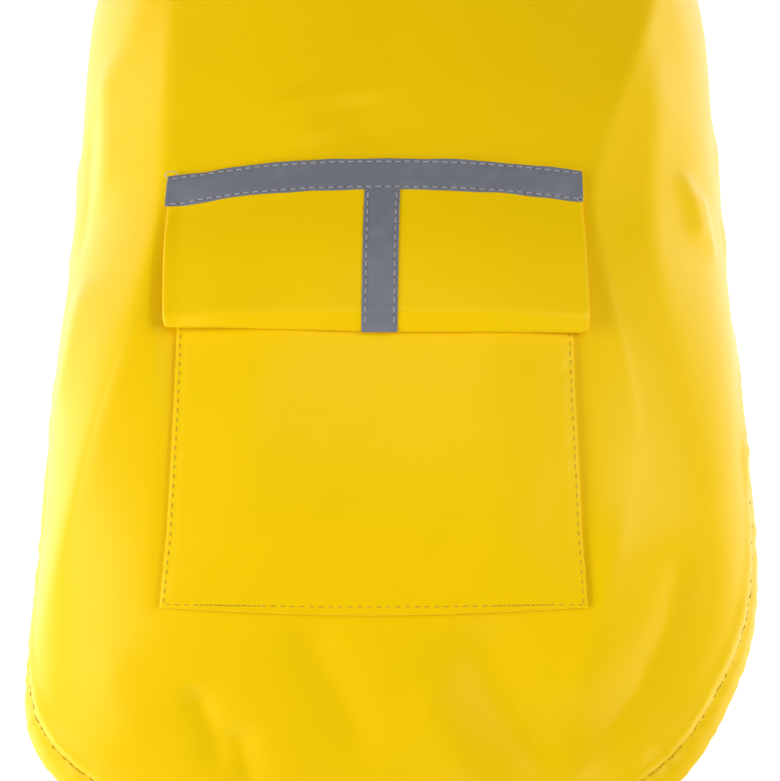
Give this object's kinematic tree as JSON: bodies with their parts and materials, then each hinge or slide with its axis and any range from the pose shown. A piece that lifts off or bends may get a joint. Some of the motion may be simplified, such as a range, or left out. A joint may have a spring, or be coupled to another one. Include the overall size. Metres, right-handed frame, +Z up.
{
  "type": "dog raincoat",
  "caption": "Hollow dog raincoat in yellow coated cloth, with a back pocket and flap, reflective tapes, a chest panel and a belly strap.",
  "frame": {"origin": "inside of the back, on its middle line above the rib cage, where the wearer's back holds the coat up", "axes": "+Y toward the head along the back, +X to the coat's right side, +Z up"},
  "size_m": [0.2574, 0.5172, 0.2596],
  "materials": {
    "coated_cloth": "satin coating on a fine knit",
    "reflective_tape": "grey reflective, satin",
    "webbing": "matte woven tape",
    "hook_and_loop": "matte nap"
  },
  "bodies": {
    "root": {"back_panel": "coated_cloth", "rear_hem": "coated_cloth", "back_neck_hem": "coated_cloth", "chest_panel": "coated_cloth", "chest_neck_hem": "coated_cloth", "chest_foot_hem": "coated_cloth", "pocket_bag": "coated_cloth", "pocket_flap": "coated_cloth", "tape_across": "reflective_tape", "tape_down": "reflective_tape", "strap_right": "webbing", "strap_left": "webbing", "loop_patch": "hook_and_loop", "hook_patch": "hook_and_loop"}
  },
  "joints": []
}
